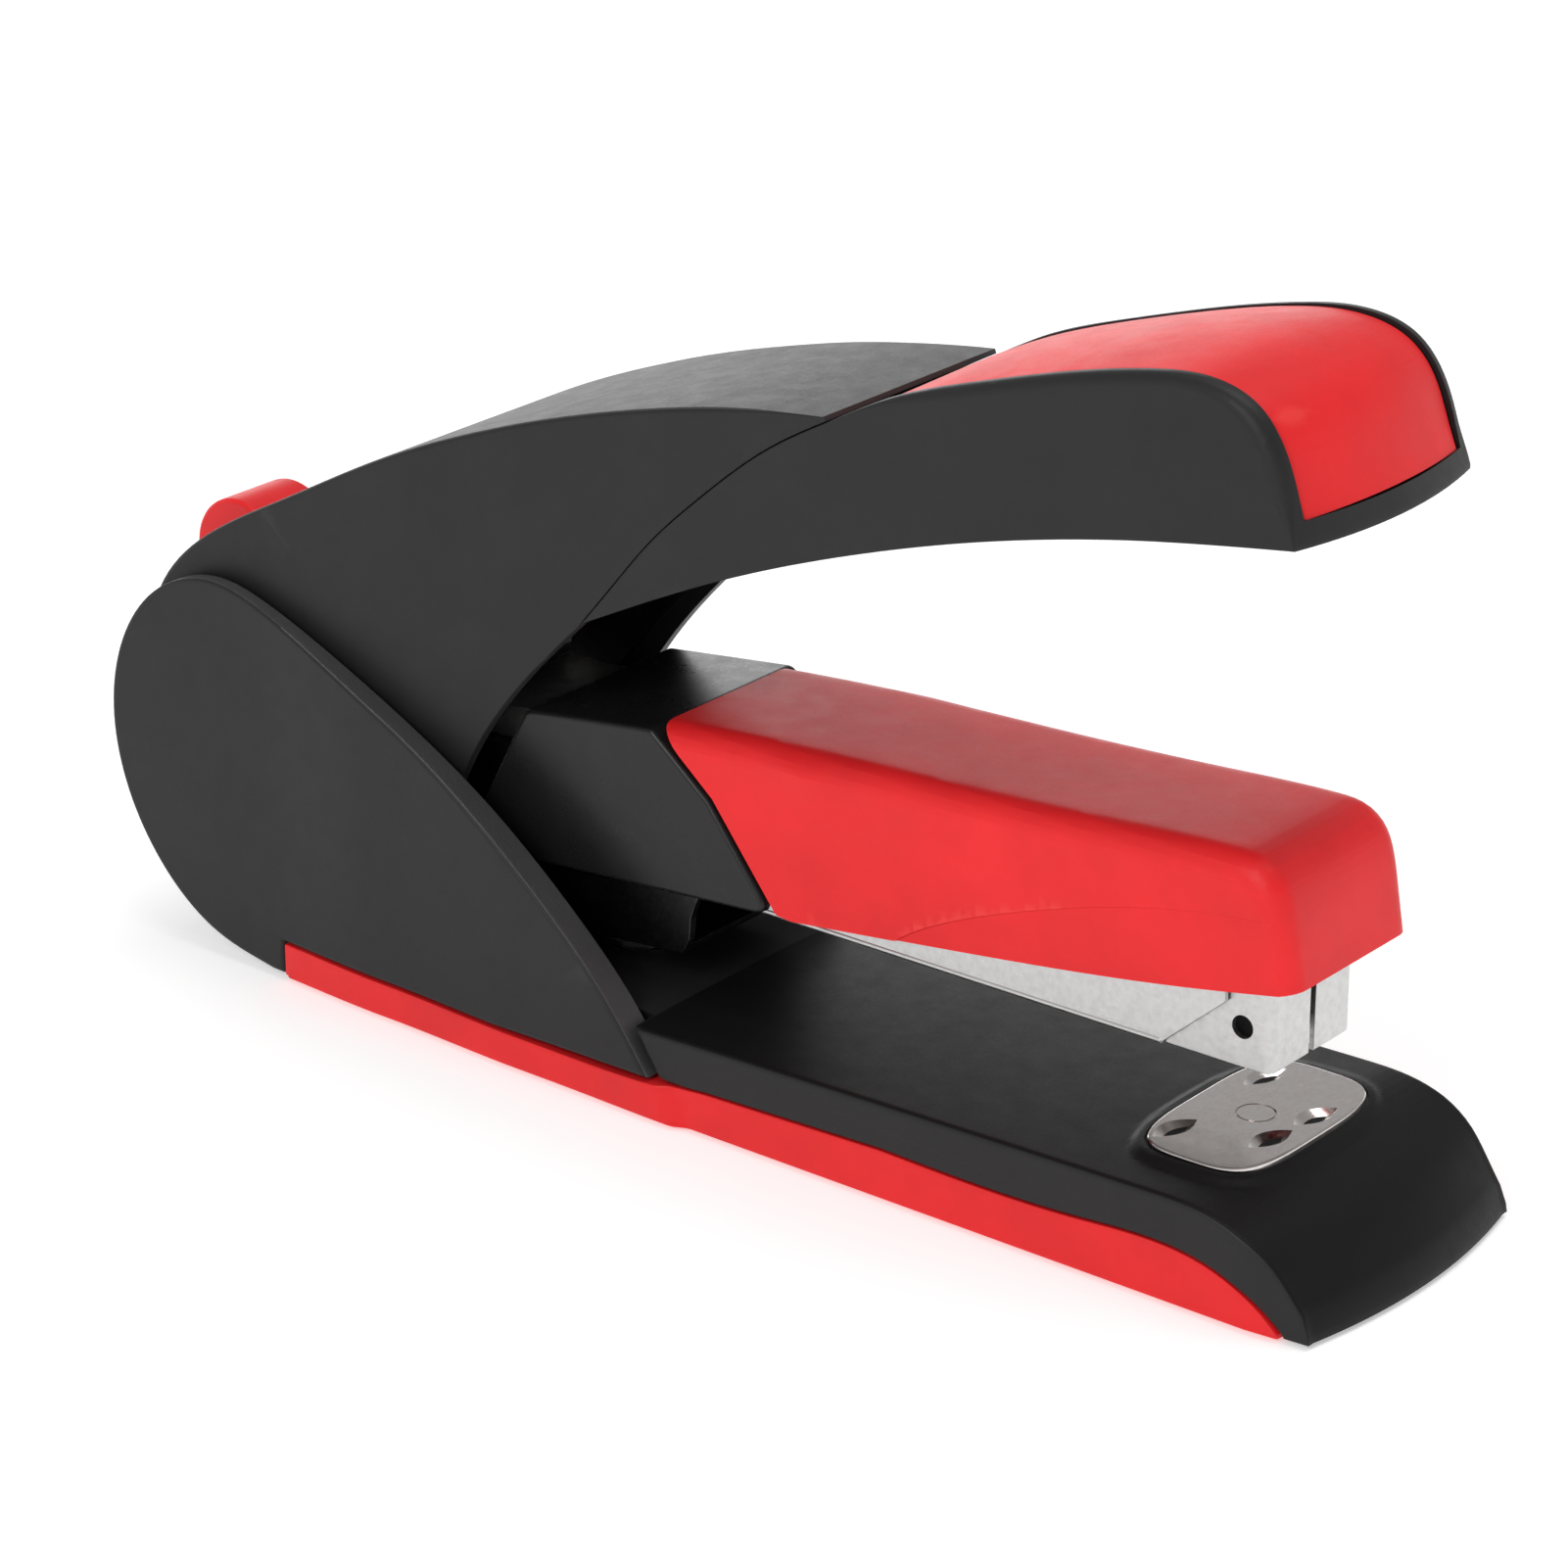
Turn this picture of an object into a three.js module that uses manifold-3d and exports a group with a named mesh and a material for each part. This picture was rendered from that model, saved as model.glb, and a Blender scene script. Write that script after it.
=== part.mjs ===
// Compound-lever desk stapler with a front-loading drawer, built as separate pieces.
// Millimetres. Origin: the middle of the rubber mat's underside. +X runs to the nose,
// +Y to the stapler's left side and +Z up. The handle and the arm are modelled raised.

import * as THREE from 'three';
import { mergeVertices } from 'three/addons/utils/BufferGeometryUtils.js';
import Module from 'manifold-3d';

const wasm = await Module();
wasm.setup();

// ---------------------------------------------------------------- driving dimensions

const GAP = 0.3; // between pieces that touch or run past each other
const WALL = 1.6; // moulded plastic shells
const STEEL = 1.2; // pressed steel frames

const HANDLE_PIVOT = { x: -52, z: 24, r: 2.2 };
const ARM_PIVOT = { x: -70, z: 15, r: 2 };
const ROLLER = { x: -38, z: 42, r: 4, half: 5, pinR: 1.5 };
const ANVIL = { x: 64, halfX: 6.4, halfY: 12.3, bottom: 13.3, top: 14.2, stemR: 2.6 };

// Half-widths across Y, from the middle of the stapler outwards.
const HALF = {
  railInner: 6.6,
  railOuter: 7.3,
  channelInner: 7.7,
  channelOuter: 8.3,
  lever: 8.4,
  armFrame: 10.2,
  headInner: 10.8,
  head: 12.2,
  housing: 12.5,
  ear: 12.4,
  handlePlate: 14.2,
  shellInner: 14.6,
  shell: 16,
  cheekInner: 16.4,
  baseRear: 18.7,
  baseMiddle: 21,
  baseFront: 20.15,
  baseNose: 19,
};

const BASE = {
  rear: -85.3,
  stripRear: -58.4,
  stepRear: -1,
  stepFront: 2.6,
  shoulder: 76,
  nose: 83,
  tip: 85.3,
};
const SOLE = { bottom: 0.3, floor: 2.6, wall: 2.2 };
const MAT = { rear: -52, front: 76, half: 15.5, thick: 1.1 };
const FRAME = { rear: -73.4, front: 76, bottom: 6.9, top: 8.4 };
const SCREWS = [[12, 8], [12, -8], [46, 8], [46, -8]];
const SCREW = { shankR: 1.5, headR: 2.6, headBottom: 1.7, headTop: 3, tip: 9.7 };
const MAGAZINE = { rear: -42, floor: 22.5, sheet: 0.8, rim: 30.6 };
const NOSE = { rear: 58.4, front: 70.2, sheet: 0.6, half: 7.45, bottom: 22.3, top: 33 };
const STRIP = { rear: 15, front: 66.6, half: 6.25, bottom: 24.7, top: 30.2, wire: 0.55 };
const BLADE = { x: 67.3, thick: 0.5, half: 6.2, bottom: 33.5, top: 43.4 };
const ROD = { rear: -39.5, front: 60, z: 27.2, r: 1 };
const LIFT_SPRING = { x: -20, r: 4 };
const PLUG = { rear: -40, front: -36 };
const PUSHER = { rear: 5, front: 14.6 };

// ---------------------------------------------------------------- materials

const material = (color, roughness, metalness) =>
  new THREE.MeshStandardMaterial({ color, roughness, metalness });
const blackPlastic = () => material(0x202122, 0.5, 0);
const redPlastic = () => material(0xd81f22, 0.42, 0);
const steel = () => material(0xb9bbbd, 0.32, 1);
const darkSteel = () => material(0x5c5e61, 0.4, 1);
const nickel = () => material(0xc9c2bd, 0.12, 1);
const rubber = () => material(0x17181a, 0.9, 0);
const greyPlastic = () => material(0x3a3c3f, 0.55, 0);

// ---------------------------------------------------------------- outlines

const v2 = ([x, y]) => new THREE.Vector2(x, y);
const smooth = (points, steps) =>
  new THREE.SplineCurve(points.map(v2)).getPoints(steps).map((p) => [p.x, p.y]);

// An open outline moved sideways by distance, to the left of its direction of travel.
function offset(points, distance) {
  return points.map(([x, y], i) => {
    const [ax, ay] = points[Math.max(i - 1, 0)];
    const [bx, by] = points[Math.min(i + 1, points.length - 1)];
    const length = Math.hypot(bx - ax, by - ay);
    return [x - ((by - ay) / length) * distance, y + ((bx - ax) / length) * distance];
  });
}

function roundedRectangle(x0, x1, y0, y1, r) {
  const shape = new THREE.Shape();
  shape.moveTo(x0 + r, y0);
  shape.lineTo(x1 - r, y0);
  shape.absarc(x1 - r, y0 + r, r, -Math.PI / 2, 0);
  shape.lineTo(x1, y1 - r);
  shape.absarc(x1 - r, y1 - r, r, 0, Math.PI / 2);
  shape.lineTo(x0 + r, y1);
  shape.absarc(x0 + r, y1 - r, r, Math.PI / 2, Math.PI);
  shape.lineTo(x0, y0 + r);
  shape.absarc(x0 + r, y0 + r, r, Math.PI, 1.5 * Math.PI);
  return shape;
}

// ---------------------------------------------------------------- solids

function solid(geometry) {
  const bare = geometry.clone();
  bare.deleteAttribute('normal');
  bare.deleteAttribute('uv');
  const merged = mergeVertices(bare, 1e-4);
  return new wasm.Manifold(new wasm.Mesh({
    numProp: 3,
    vertProperties: new Float32Array(merged.attributes.position.array),
    triVerts: new Uint32Array(merged.index.array),
  }));
}

const join = (...pieces) => pieces.reduce((sum, piece) => sum.add(piece));
const cut = (body, ...tools) => tools.reduce((rest, tool) => rest.subtract(tool), body);

function extrude(shape, depth, bevel) {
  return new THREE.ExtrudeGeometry(shape, {
    depth: depth - 2 * bevel,
    steps: 1,
    curveSegments: 8,
    bevelEnabled: bevel > 0,
    bevelThickness: bevel,
    bevelSize: bevel,
    bevelOffset: -bevel,
    bevelSegments: 2,
  }).translate(0, 0, bevel);
}

const asShape = (outline) => (outline instanceof THREE.Shape ? outline : new THREE.Shape(outline.map(v2)));

// A side outline (x, z) as a slab from y0 to y1.
function side(outline, y0, y1, bevel = 0) {
  const geometry = extrude(asShape(outline), y1 - y0, bevel);
  return solid(geometry.rotateX(Math.PI / 2).translate(0, y1, 0));
}

// A plan outline (x, y) as a slab from z0 to z1.
function plan(outline, z0, z1) {
  return solid(extrude(asShape(outline), z1 - z0, 0).translate(0, 0, z0));
}

// A cross-section (y, z) as a bar from x0 to x1, climbing by slope radians about x = 0.
function bar(outline, x0, x1, slope = 0) {
  const axes = new THREE.Matrix4().makeBasis(
    new THREE.Vector3(0, 1, 0),
    new THREE.Vector3(0, 0, 1),
    new THREE.Vector3(1, 0, 0),
  );
  return solid(extrude(asShape(outline), x1 - x0, 0).applyMatrix4(axes).translate(x0, 0, 0).rotateY(-slope));
}

function block(x0, x1, y0, y1, z0, z1) {
  const geometry = new THREE.BoxGeometry(x1 - x0, y1 - y0, z1 - z0);
  return solid(geometry.translate((x0 + x1) / 2, (y0 + y1) / 2, (z0 + z1) / 2));
}

const across = (x, z, r, y0, y1, sides = 24) =>
  solid(new THREE.CylinderGeometry(r, r, y1 - y0, sides).translate(x, (y0 + y1) / 2, z));

const upright = (x, y, r, z0, z1, sides = 24) =>
  solid(new THREE.CylinderGeometry(r, r, z1 - z0, sides).rotateX(Math.PI / 2).translate(x, y, (z0 + z1) / 2));

const lengthwise = (y, z, r, x0, x1, sides = 20) =>
  solid(new THREE.CylinderGeometry(r, r, x1 - x0, sides).rotateZ(Math.PI / 2).translate((x0 + x1) / 2, y, z));

class Helix extends THREE.Curve {
  constructor(start, axis, radius, length, turns) {
    super();
    Object.assign(this, { start, axis, radius, length, turns });
    this.across = new THREE.Vector3(axis.z, axis.x, axis.y);
    this.over = new THREE.Vector3().crossVectors(axis, this.across);
  }

  getPoint(t, target = new THREE.Vector3()) {
    const angle = 2 * Math.PI * this.turns * t;
    return target
      .copy(this.start)
      .addScaledVector(this.axis, this.length * t)
      .addScaledVector(this.across, this.radius * Math.cos(angle))
      .addScaledVector(this.over, this.radius * Math.sin(angle));
  }
}

// A round-wire coil spring that starts at start and runs along axis.
function coil(start, axis, radius, length, turns, wire) {
  const section = new THREE.Shape();
  section.absarc(0, 0, wire, 0, 2 * Math.PI);
  const from = new THREE.Vector3(...start);
  const extrudePath = new Helix(from, new THREE.Vector3(...axis), radius, length, turns);
  const steps = Math.round(turns * 9);
  const settings = { steps, curveSegments: 3, bevelEnabled: false, extrudePath };
  return solid(new THREE.ExtrudeGeometry(section, settings));
}

const object = new THREE.Group();

function piece(name, body, looks) {
  const { vertProperties, triVerts } = body.getMesh();
  const geometry = new THREE.BufferGeometry();
  geometry.setAttribute('position', new THREE.BufferAttribute(vertProperties, 3));
  geometry.setIndex(new THREE.BufferAttribute(triVerts, 1));
  const faceted = geometry.toNonIndexed();
  faceted.computeVertexNormals();
  const mesh = new THREE.Mesh(faceted, looks);
  mesh.name = name;
  object.add(mesh);
}

// ---------------------------------------------------------------- base

// Seen from above: narrow at the rear, widest between the cheeks' front ends, with a bowed nose.
const baseSide = [
  ...smooth([[-65, HALF.baseRear], [-42, 19.8], [-20, 20.6], [BASE.stepRear, HALF.baseMiddle]], 6),
  [BASE.stepFront, HALF.baseFront],
  [BASE.shoulder, HALF.baseFront],
  [BASE.nose, HALF.baseNose],
];
const noseCurve = smooth([[BASE.nose, HALF.baseNose], [BASE.tip, 0], [BASE.nose, -HALF.baseNose]], 10);
const bowedNose = noseCurve.slice(1, -1);
const rearCorner = [[BASE.rear, 17.6], [BASE.rear + 1.5, HALF.baseRear]];
const mirrored = (points) => points.map(([x, y]) => [x, -y]).reverse();
const baseOutline = [...rearCorner, ...baseSide, ...bowedNose, ...mirrored([...rearCorner, ...baseSide])];

const stripTop = [
  ...smooth([[BASE.stripRear, 4.8], [-25, 4.5], [1, 5], [6, 5.4]], 6),
  ...smooth([[30, 6.2], [55, 6.4], [72, 6], [77.5, 3.3], [80, 1]], 10),
];

const screwHoles = (r, z0, z1) => join(...SCREWS.map(([x, y]) => upright(x, y, r, z0, z1, 16)));

function baseSole() {
  const outline = [...stripTop, [80, SOLE.bottom], [BASE.stripRear, SOLE.bottom]];
  const outer = side(outline, -25, 25).intersect(plan(baseOutline, -1, 20));
  const inset = roundedRectangle(BASE.stripRear + SOLE.wall, 72, -17.8, 17.8, 3);
  const matSeat = roundedRectangle(MAT.rear - GAP, MAT.front + GAP, -MAT.half - GAP, MAT.half + GAP, 4);
  const tray = cut(outer, plan(inset, SOLE.floor, 20));
  const bosses = join(...SCREWS.map(([x, y]) => upright(x, y, 4, SOLE.floor - 0.5, FRAME.bottom - GAP)));
  return cut(
    join(tray, bosses),
    plan(matSeat, -1, MAT.thick + GAP),
    screwHoles(SCREW.headR + GAP, 0, SCREW.headTop + GAP),
    screwHoles(SCREW.shankR + GAP, 0, 20),
    upright(ANVIL.x, 0, 5.4, -1, 10),
  );
}

function baseMat() {
  const sheet = plan(roundedRectangle(MAT.rear, MAT.front, -MAT.half, MAT.half, 4), 0, MAT.thick);
  return cut(sheet, upright(ANVIL.x, 0, 5.4, -1, 10));
}

function baseDeck() {
  const top = smooth([[-4, 10.6], [30, 11.9], [62, 13], [72, 12.7], [79, 9.6], [84, 3.6], [86, 0.6]], 20);
  const underStrip = offset(stripTop.filter(([x]) => x > 3), GAP).reverse();
  const shell = side([...top, [80.5, 0.6], ...underStrip, [0.6, 5.8]], -25, 25, 0);
  const tongue = block(-36, 0, -15.8, 15.8, 8.9, 10.3);
  const crown = new THREE.Shape();
  crown.moveTo(-HALF.baseFront, -5);
  crown.lineTo(-HALF.baseFront, 9.2);
  crown.quadraticCurveTo(-HALF.baseFront, 11.6, -18, 12);
  crown.quadraticCurveTo(0, 14.2, 18, 12);
  crown.quadraticCurveTo(HALF.baseFront, 11.6, HALF.baseFront, 9.2);
  crown.lineTo(HALF.baseFront, -5);
  const rounded = shell.intersect(plan(baseOutline, -1, 20)).intersect(bar(crown, -20, 90));
  const hollow = roundedRectangle(-2.4, 78, -18, 18, 3);
  const bosses = join(...SCREWS.map(([x, y]) => upright(x, y, 3.2, FRAME.top + GAP, 10.6)));
  const recess = roundedRectangle(ANVIL.x - 8.8, ANVIL.x + 8.8, -14.8, 14.8, 5);
  return cut(
    join(cut(rounded, plan(hollow, -5, 9.2)), tongue, bosses),
    screwHoles(SCREW.shankR + GAP, 0, SCREW.tip + GAP),
    plan(recess, 12.3, 20),
    upright(ANVIL.x, 0, ANVIL.stemR + GAP, 0, 20),
    upright(LIFT_SPRING.x, 0, LIFT_SPRING.r + 1, 0, 20),
  );
}

// The cheek's outline: a round rear, a crest over the handle, and a long bowed front edge.
const cheekRear = smooth([
  [-60.5, 1], [-70, 2.5], [-79.2, 8.8], [-84.9, 20.1], [-85.1, 28], [-80.3, 40.7],
  [-74.1, 45.7], [-68, 47.2],
], 22);
const cheekFront = smooth([
  [-68, 47.2], [-62, 46], [-51.5, 42.1], [-39.3, 36.4], [-27.4, 29.6],
  [-15.8, 20.7], [-7.3, 12.5], [-2, 5.6],
], 21);

function cheek(sign) {
  const rear = BASE.stripRear - GAP;
  const outline = [...cheekRear, ...cheekFront.slice(1), [-25, 4.8], [rear, 5.1], [rear, 1]];
  const slab = sign > 0 ? side(outline, HALF.cheekInner, 24) : side(outline, -24, -HALF.cheekInner);
  return slab.intersect(plan(baseOutline, -1, 60));
}

// A curved wall that closes the base between the cheeks, low at the rear.
function baseRearCover() {
  const low = cheekRear.filter(([, z]) => z < 14);
  const outer = offset([[BASE.stripRear - 1, 0.8], ...low], -GAP);
  const inner = offset([[BASE.stripRear - 1, 0.8], ...low], -GAP - WALL);
  return side([...outer, ...inner.reverse()], -HALF.cheekInner + GAP, HALF.cheekInner - GAP);
}

function baseFrame() {
  const plateHalf = HALF.ear + 0.3;
  const plate = block(FRAME.rear, FRAME.front, -plateHalf, plateHalf, FRAME.bottom, FRAME.top);
  const earOutline = [
    [FRAME.rear + 0.4, 7.4], [-40, 7.4], [-43, 26], [-48, 31], [-56, 31], [-71, 22], [FRAME.rear + 0.4, 19],
  ];
  const earInner = HALF.ear - STEEL;
  const ears = [side(earOutline, earInner, HALF.ear), side(earOutline, -HALF.ear, -earInner)];
  return cut(
    join(plate, ...ears),
    across(ARM_PIVOT.x, ARM_PIVOT.z, ARM_PIVOT.r + GAP, -20, 20),
    across(HANDLE_PIVOT.x, HANDLE_PIVOT.z, HANDLE_PIVOT.r + GAP, -20, 20),
    screwHoles(SCREW.shankR + GAP, 0, 20),
    upright(ANVIL.x, 0, ANVIL.stemR + GAP, 0, 20),
  );
}

function baseScrew([x, y]) {
  const head = upright(x, y, SCREW.headR, SCREW.headBottom, SCREW.headTop, 20);
  const slots = join(
    block(x - 1.6, x + 1.6, y - 0.3, y + 0.3, 0, SCREW.headBottom + 0.7),
    block(x - 0.3, x + 0.3, y - 1.6, y + 1.6, 0, SCREW.headBottom + 0.7),
  );
  return cut(join(head, upright(x, y, SCREW.shankR, SCREW.headTop - 0.2, SCREW.tip, 16)), slots);
}

piece('base_sole', baseSole(), redPlastic());
piece('base_mat', baseMat(), rubber());
piece('base_deck', baseDeck(), blackPlastic());
piece('cheek_left', cheek(1), blackPlastic());
piece('cheek_right', cheek(-1), blackPlastic());
piece('base_rear_cover', baseRearCover(), blackPlastic());
piece('base_frame', baseFrame(), steel());
SCREWS.forEach((place, i) => piece(`base_screw_${i + 1}`, baseScrew(place), darkSteel()));
piece('handle_pivot_pin', across(HANDLE_PIVOT.x, HANDLE_PIVOT.z, HANDLE_PIVOT.r, -14.4, 14.4), steel());
piece('arm_pivot_pin', across(ARM_PIVOT.x, ARM_PIVOT.z, ARM_PIVOT.r, -12.6, 12.6), steel());
const liftFoot = [LIFT_SPRING.x, 0, FRAME.top + 0.9];
piece('arm_lift_spring', coil(liftFoot, [0, 0, 1], LIFT_SPRING.r, 4, 3, 0.5), steel());

// ---------------------------------------------------------------- anvil

const stemHeadTop = 3;

function anvilStem() {
  return join(
    upright(ANVIL.x, 0, ANVIL.stemR, 2.4, ANVIL.bottom - GAP),
    upright(ANVIL.x, 0, 4.6, 1.6, stemHeadTop),
  );
}

function anvilPlate() {
  const outline = new THREE.Shape();
  outline.moveTo(ANVIL.x - ANVIL.halfX + 0.7, -ANVIL.halfY);
  outline.quadraticCurveTo(ANVIL.x, -ANVIL.halfY - 1, ANVIL.x + ANVIL.halfX - 0.7, -ANVIL.halfY);
  outline.quadraticCurveTo(ANVIL.x + ANVIL.halfX + 0.7, 0, ANVIL.x + ANVIL.halfX - 0.7, ANVIL.halfY);
  outline.quadraticCurveTo(ANVIL.x, ANVIL.halfY + 1, ANVIL.x - ANVIL.halfX + 0.7, ANVIL.halfY);
  outline.quadraticCurveTo(ANVIL.x - ANVIL.halfX - 0.7, 0, ANVIL.x - ANVIL.halfX + 0.7, -ANVIL.halfY);
  const dent = (x, y, halfX, halfY) =>
    solid(new THREE.SphereGeometry(1, 12, 8).scale(halfX, halfY, 0.7).translate(ANVIL.x + x, y, ANVIL.top));
  const clinch = [1, -1].map((s) => dent(4.6, s * 3.9, 1.1, 2.6));
  const pinning = [1, -1].map((s) => dent(-4.6, s * 8, 1.1, 2.6));
  return cut(plan(outline, ANVIL.bottom, ANVIL.top), ...clinch, ...pinning);
}

piece('anvil_stem', anvilStem(), darkSteel());
piece('anvil_plate', anvilPlate(), nickel());
piece('anvil_spring', coil([ANVIL.x, 0, 3.7], [0, 0, 1], 3.7, 2.5, 2, 0.3), steel());

// ---------------------------------------------------------------- handle

// The handle's long back, the raised palm grip, the lower edge, and the seam between them.
const shellTop = smooth([
  [-83, 27], [-79.4, 43.2], [-59.8, 57.9], [-44.5, 66], [-25.8, 73.9],
  [-4.6, 80.4], [8.9, 83.2], [18.6, 84.4],
], 28);
const seam = smooth([[-14.6, 53.9], [-9.7, 59.7], [-4.8, 65.4], [2.1, 71.9], [11.6, 79.5], [20, 84.4]], 10);
const gripTop = smooth([
  [20, 84.4], [25.6, 87.4], [36.6, 91.4], [48, 94.8], [57.6, 97],
  [65.3, 97.5], [69.7, 95.9], [72.6, 92.6], [74.7, 87.5], [76, 83.1],
], 27);
const gripBottom = smooth([
  [76, 82.7], [58.1, 79.8], [36.9, 74.8], [20.1, 69.4], [4.7, 63.3], [-14.6, 53.9],
], 14);
const shellBottom = smooth([
  [-14.9, 53.6], [-22.9, 45.4], [-31, 34.4], [-38, 22], [-52, 12], [-66, 10.5], [-78, 15],
], 14);

const buttonTravel = { x: 0.82, z: -0.57, length: 3 };
const buttonOutline = (grow, pressed = 0) => {
  const shape = new THREE.Shape();
  const x = -77.3 + buttonTravel.x * pressed;
  const z = 44.6 + buttonTravel.z * pressed;
  shape.absarc(x, z, 6.6 + grow, -0.2 * Math.PI, 1.2 * Math.PI);
  return shape;
};

function handleRearShell() {
  const front = offset(seam, GAP).reverse().slice(1, -1);
  const shell = side([...shellTop, ...front, ...shellBottom], -HALF.shell, HALF.shell);
  const roof = offset(shellTop, -WALL);
  const inside = [[-81.4, -20], ...roof.slice(1), [60, 84], [60, -20]];
  const hollow = side(inside, -HALF.shellInner, HALF.shellInner);
  const strokes = [0, 0.2, 0.4, 0.6, 0.8, 1];
  const slot = strokes.map((t) => side(buttonOutline(GAP, t * buttonTravel.length), -5.4, 5.4));
  const pinHoles = across(HANDLE_PIVOT.x, HANDLE_PIVOT.z, HANDLE_PIVOT.r + GAP, -14.7, 14.7);
  return cut(shell, hollow, pinHoles, ...slot);
}

const insertPath = smooth([
  [21.6, 84.9], [28, 88.1], [36.6, 91.2], [48, 94.6], [57.6, 96.8],
  [65.1, 97.2], [69.4, 95.6], [72.2, 92.4], [74.6, 86.4],
], 24);
const insertRows = { thick: 1.6, half: 13.8 };

function handleGripShell() {
  const shell = side([...seam, ...gripTop.slice(1), ...gripBottom.slice(0, -1)], -HALF.shell, HALF.shell);
  const seat = side(
    [...offset(insertPath, 3), ...offset(insertPath, -insertRows.thick - GAP).reverse()],
    -insertRows.half - GAP,
    insertRows.half + GAP,
  );
  const floor = offset(insertPath, -insertRows.thick - 1.7);
  const hollow = side(
    [[-40, 20], [-40, 66], [8, 78], [17.6, 81.6], ...floor.slice(2, -2), [73.4, 83.8], [73.4, 40]],
    -14.4,
    14.4,
  );
  return cut(shell, seat, hollow);
}

function handleInsert() {
  const band = [...insertPath, ...offset(insertPath, -insertRows.thick).reverse()];
  return side(band, -insertRows.half, insertRows.half);
}

function handleFrame() {
  const under = smooth([
    [-44, 19], [-38, 30], [-28, 43.5], [-18, 52.5], [-6, 60.4], [20, 71], [42, 77.8],
  ], 12);
  const over = smooth([[42, 80.6], [20, 75.6], [0, 69], [-20, 60], [-42, 42], [-59, 27], [-56, 17.5]], 12);
  const slab = side([...under, ...over], -HALF.handlePlate, HALF.handlePlate);
  const half = HALF.handlePlate - STEEL;
  const inner = side([...offset(over, STEEL), [-70, 0], [60, 0], [60, 84.5]], -half, half);
  const open = side([[-80, 0], [-80, 62], [-16, 62.6], [-16, 0]], -half, half);
  return cut(
    slab,
    inner,
    open,
    across(HANDLE_PIVOT.x, HANDLE_PIVOT.z, HANDLE_PIVOT.r + GAP, -20, 20),
    across(ROLLER.x, ROLLER.z, ROLLER.pinR + GAP, -20, 20),
  );
}

function releaseButton() {
  const cap = side(buttonOutline(0), -5, 5, 0.6);
  const stem = block(-73, -68.4, -3, 3, 40.6, 43.4);
  return join(cap, stem);
}

piece('handle_rear_shell', handleRearShell(), blackPlastic());
piece('handle_grip_shell', handleGripShell(), blackPlastic());
piece('handle_insert', handleInsert(), redPlastic());
piece('handle_frame', handleFrame(), steel());
piece('roller_pin', across(ROLLER.x, ROLLER.z, ROLLER.pinR, -14.3, 14.3, 18), steel());
const rollerTyre = across(ROLLER.x, ROLLER.z, ROLLER.r, -ROLLER.half, ROLLER.half, 28);
piece('press_roller', cut(rollerTyre, across(ROLLER.x, ROLLER.z, ROLLER.pinR + GAP, -20, 20)), darkSteel());
const returnSpring = coil([HANDLE_PIVOT.x, -7, HANDLE_PIVOT.z], [0, 1, 0], 3.6, 14, 9, 0.6);
piece('handle_return_spring', returnSpring, steel());
piece('release_button', releaseButton(), redPlastic());
piece('button_spring', coil([-68, 0, 42], [1, 0, 0], 1.6, 6, 5, 0.3), steel());

// ---------------------------------------------------------------- arm

const headTop = [
  ...smooth([[-7.5, 42.8], [5.6, 43.9], [32.1, 45.2], [66.8, 47.4]], 8),
  ...smooth([[66.8, 47.4], [70.4, 46.8], [72.6, 44.6], [73.8, 40.5], [74.8, 33.7]], 9).slice(1),
];
const headBottom = [...smooth([[74.8, 33.7], [61.3, 31.1], [36.6, 27.6], [11.4, 24.7]], 8), [9.3, 24.9]];

const headCrown = { top: 43.65, round: 2.6, slope: 0.0565 };
const headRear = [0.5, 36.2];

function headCover() {
  const slab = side([...headTop, ...headBottom.slice(1), headRear], -HALF.head, HALF.head);
  const section = roundedRectangle(-HALF.head, HALF.head, 0, headCrown.top, headCrown.round);
  const nose = roundedRectangle(-60, 74.8, -HALF.head, HALF.head, headCrown.round);
  const outer = slab.intersect(bar(section, -40, 90, headCrown.slope)).intersect(plan(nose, 0, 60));
  const roof = offset(headTop, -WALL + 0.1).slice(1, -1);
  const inside = [[-30, 0], [-30, 40.4], [-9, 41.2], ...roof, [73.2, 0]];
  return cut(outer, side(inside, -HALF.headInner, HALF.headInner));
}

function armHousing() {
  const outline = [[-36, 21.2], [8.9, 24.6], [0.1, 35.9], [-7.9, 42.3], [-26, 40.1]];
  const outer = side(outline, -HALF.housing, HALF.housing, 0.6);
  const hollow = side([[-50, 0], [-50, 37], [-26, 38.7], [-7, 40.8], [20, 43], [20, 0]], -11.2, 11.2);
  return cut(outer, hollow);
}

function armFrame() {
  const outline = [
    ...smooth([[-3.2, 22.6], [-4.2, 20], [-4.4, 17.4], [-5.6, 15.4]], 6),
    [-70, 9.7], [-75, 11], [-76, 17], [-70, 20.4], [-46, 20.4], [-42, 24], [-38, 33.6], [-12, 35], [-6, 30],
  ];
  const slab = side(outline, -HALF.armFrame, HALF.armFrame);
  const inner = side([[-90, 10.9], [-70, 10.9], [-6, 16.6], [20, 17], [20, 60], [-90, 60]], -9.2, 9.2);
  return cut(slab, inner, across(ARM_PIVOT.x, ARM_PIVOT.z, ARM_PIVOT.r + GAP, -20, 20));
}

function magazineChannel() {
  const outline = [
    [MAGAZINE.rear, MAGAZINE.floor], [57.1, MAGAZINE.floor], [64.9, 29.4],
    [64.9, MAGAZINE.rim], [MAGAZINE.rear, MAGAZINE.rim],
  ];
  const slab = side(outline, -HALF.channelOuter, HALF.channelOuter);
  const floor = MAGAZINE.floor + MAGAZINE.sheet;
  return cut(slab, block(-60, 80, -HALF.channelInner, HALF.channelInner, floor, 40));
}

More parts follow.
